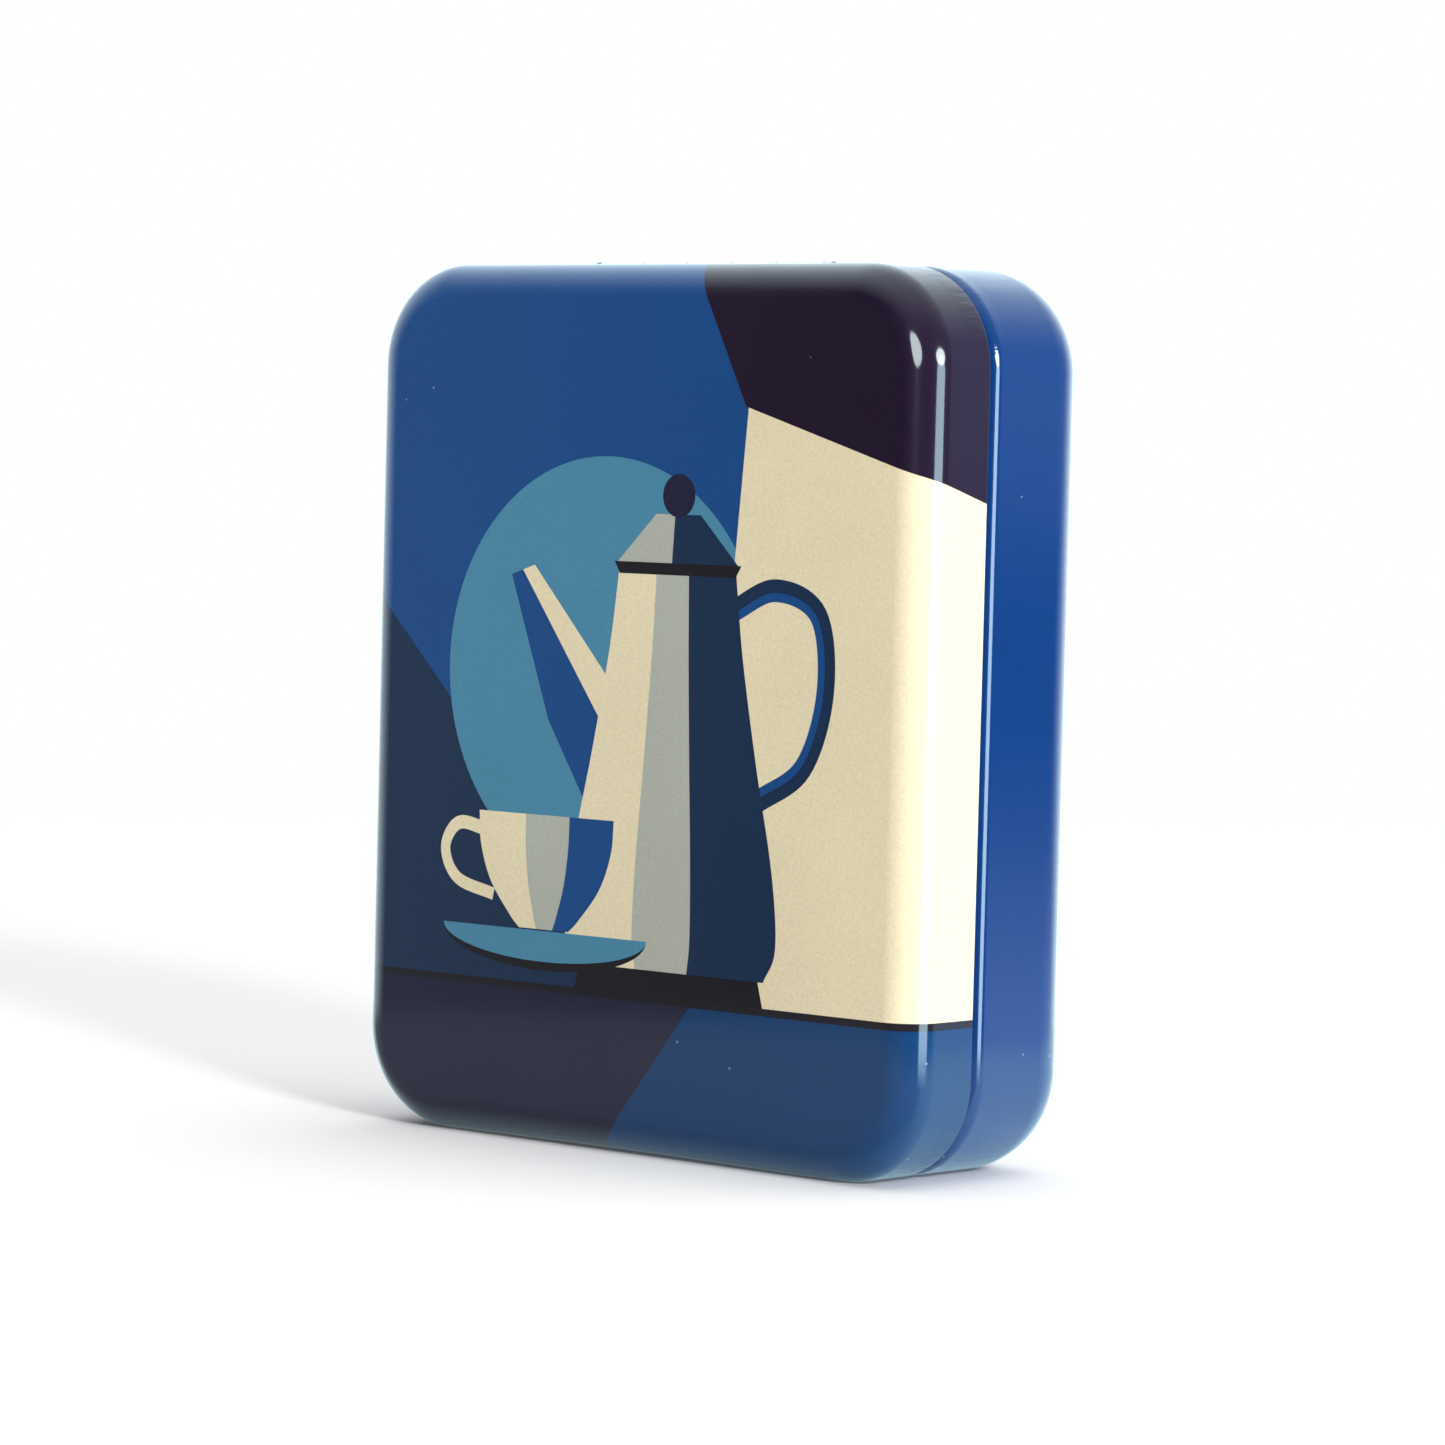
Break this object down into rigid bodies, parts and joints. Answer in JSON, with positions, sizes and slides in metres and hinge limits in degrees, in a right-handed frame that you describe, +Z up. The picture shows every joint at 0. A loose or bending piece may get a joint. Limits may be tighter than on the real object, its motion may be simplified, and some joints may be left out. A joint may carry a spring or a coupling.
{
  "type": "hinged rectangular tinplate box",
  "caption": "Flat rectangular tin of drawn tinplate: a lid tray with a printed picture, pinned by a hinge to a plain base tray with a neck.",
  "frame": {"origin": "centre of the footprint, at the height of the surface that the tin stands on", "axes": "+X across the tin along the hinge, +Y from the lid to the back of the base, +Z up to the hinged end"},
  "size_m": [0.101, 0.036, 0.1207],
  "materials": {
    "base_enamel": "gloss",
    "lid_print": "satin varnish over a printed picture in blues, cream and dark purple",
    "bare_tinplate": "bright rolled tinplate",
    "steel_wire": "drawn wire"
  },
  "bodies": {
    "base": {"base_shell": "base_enamel", "base_hinge_leaf": "bare_tinplate", "hinge_pin": "steel_wire"},
    "lid": {"lid_shell": "lid_print", "lid_hinge_leaf": "bare_tinplate"}
  },
  "joints": [
    {"name": "lid_hinge", "type": "hinge", "parent": "base", "child": "lid", "pos_m": [0, -0.00395, 0.1196], "axis": [-1, 0, 0], "range_deg": [0, 145]}
  ]
}
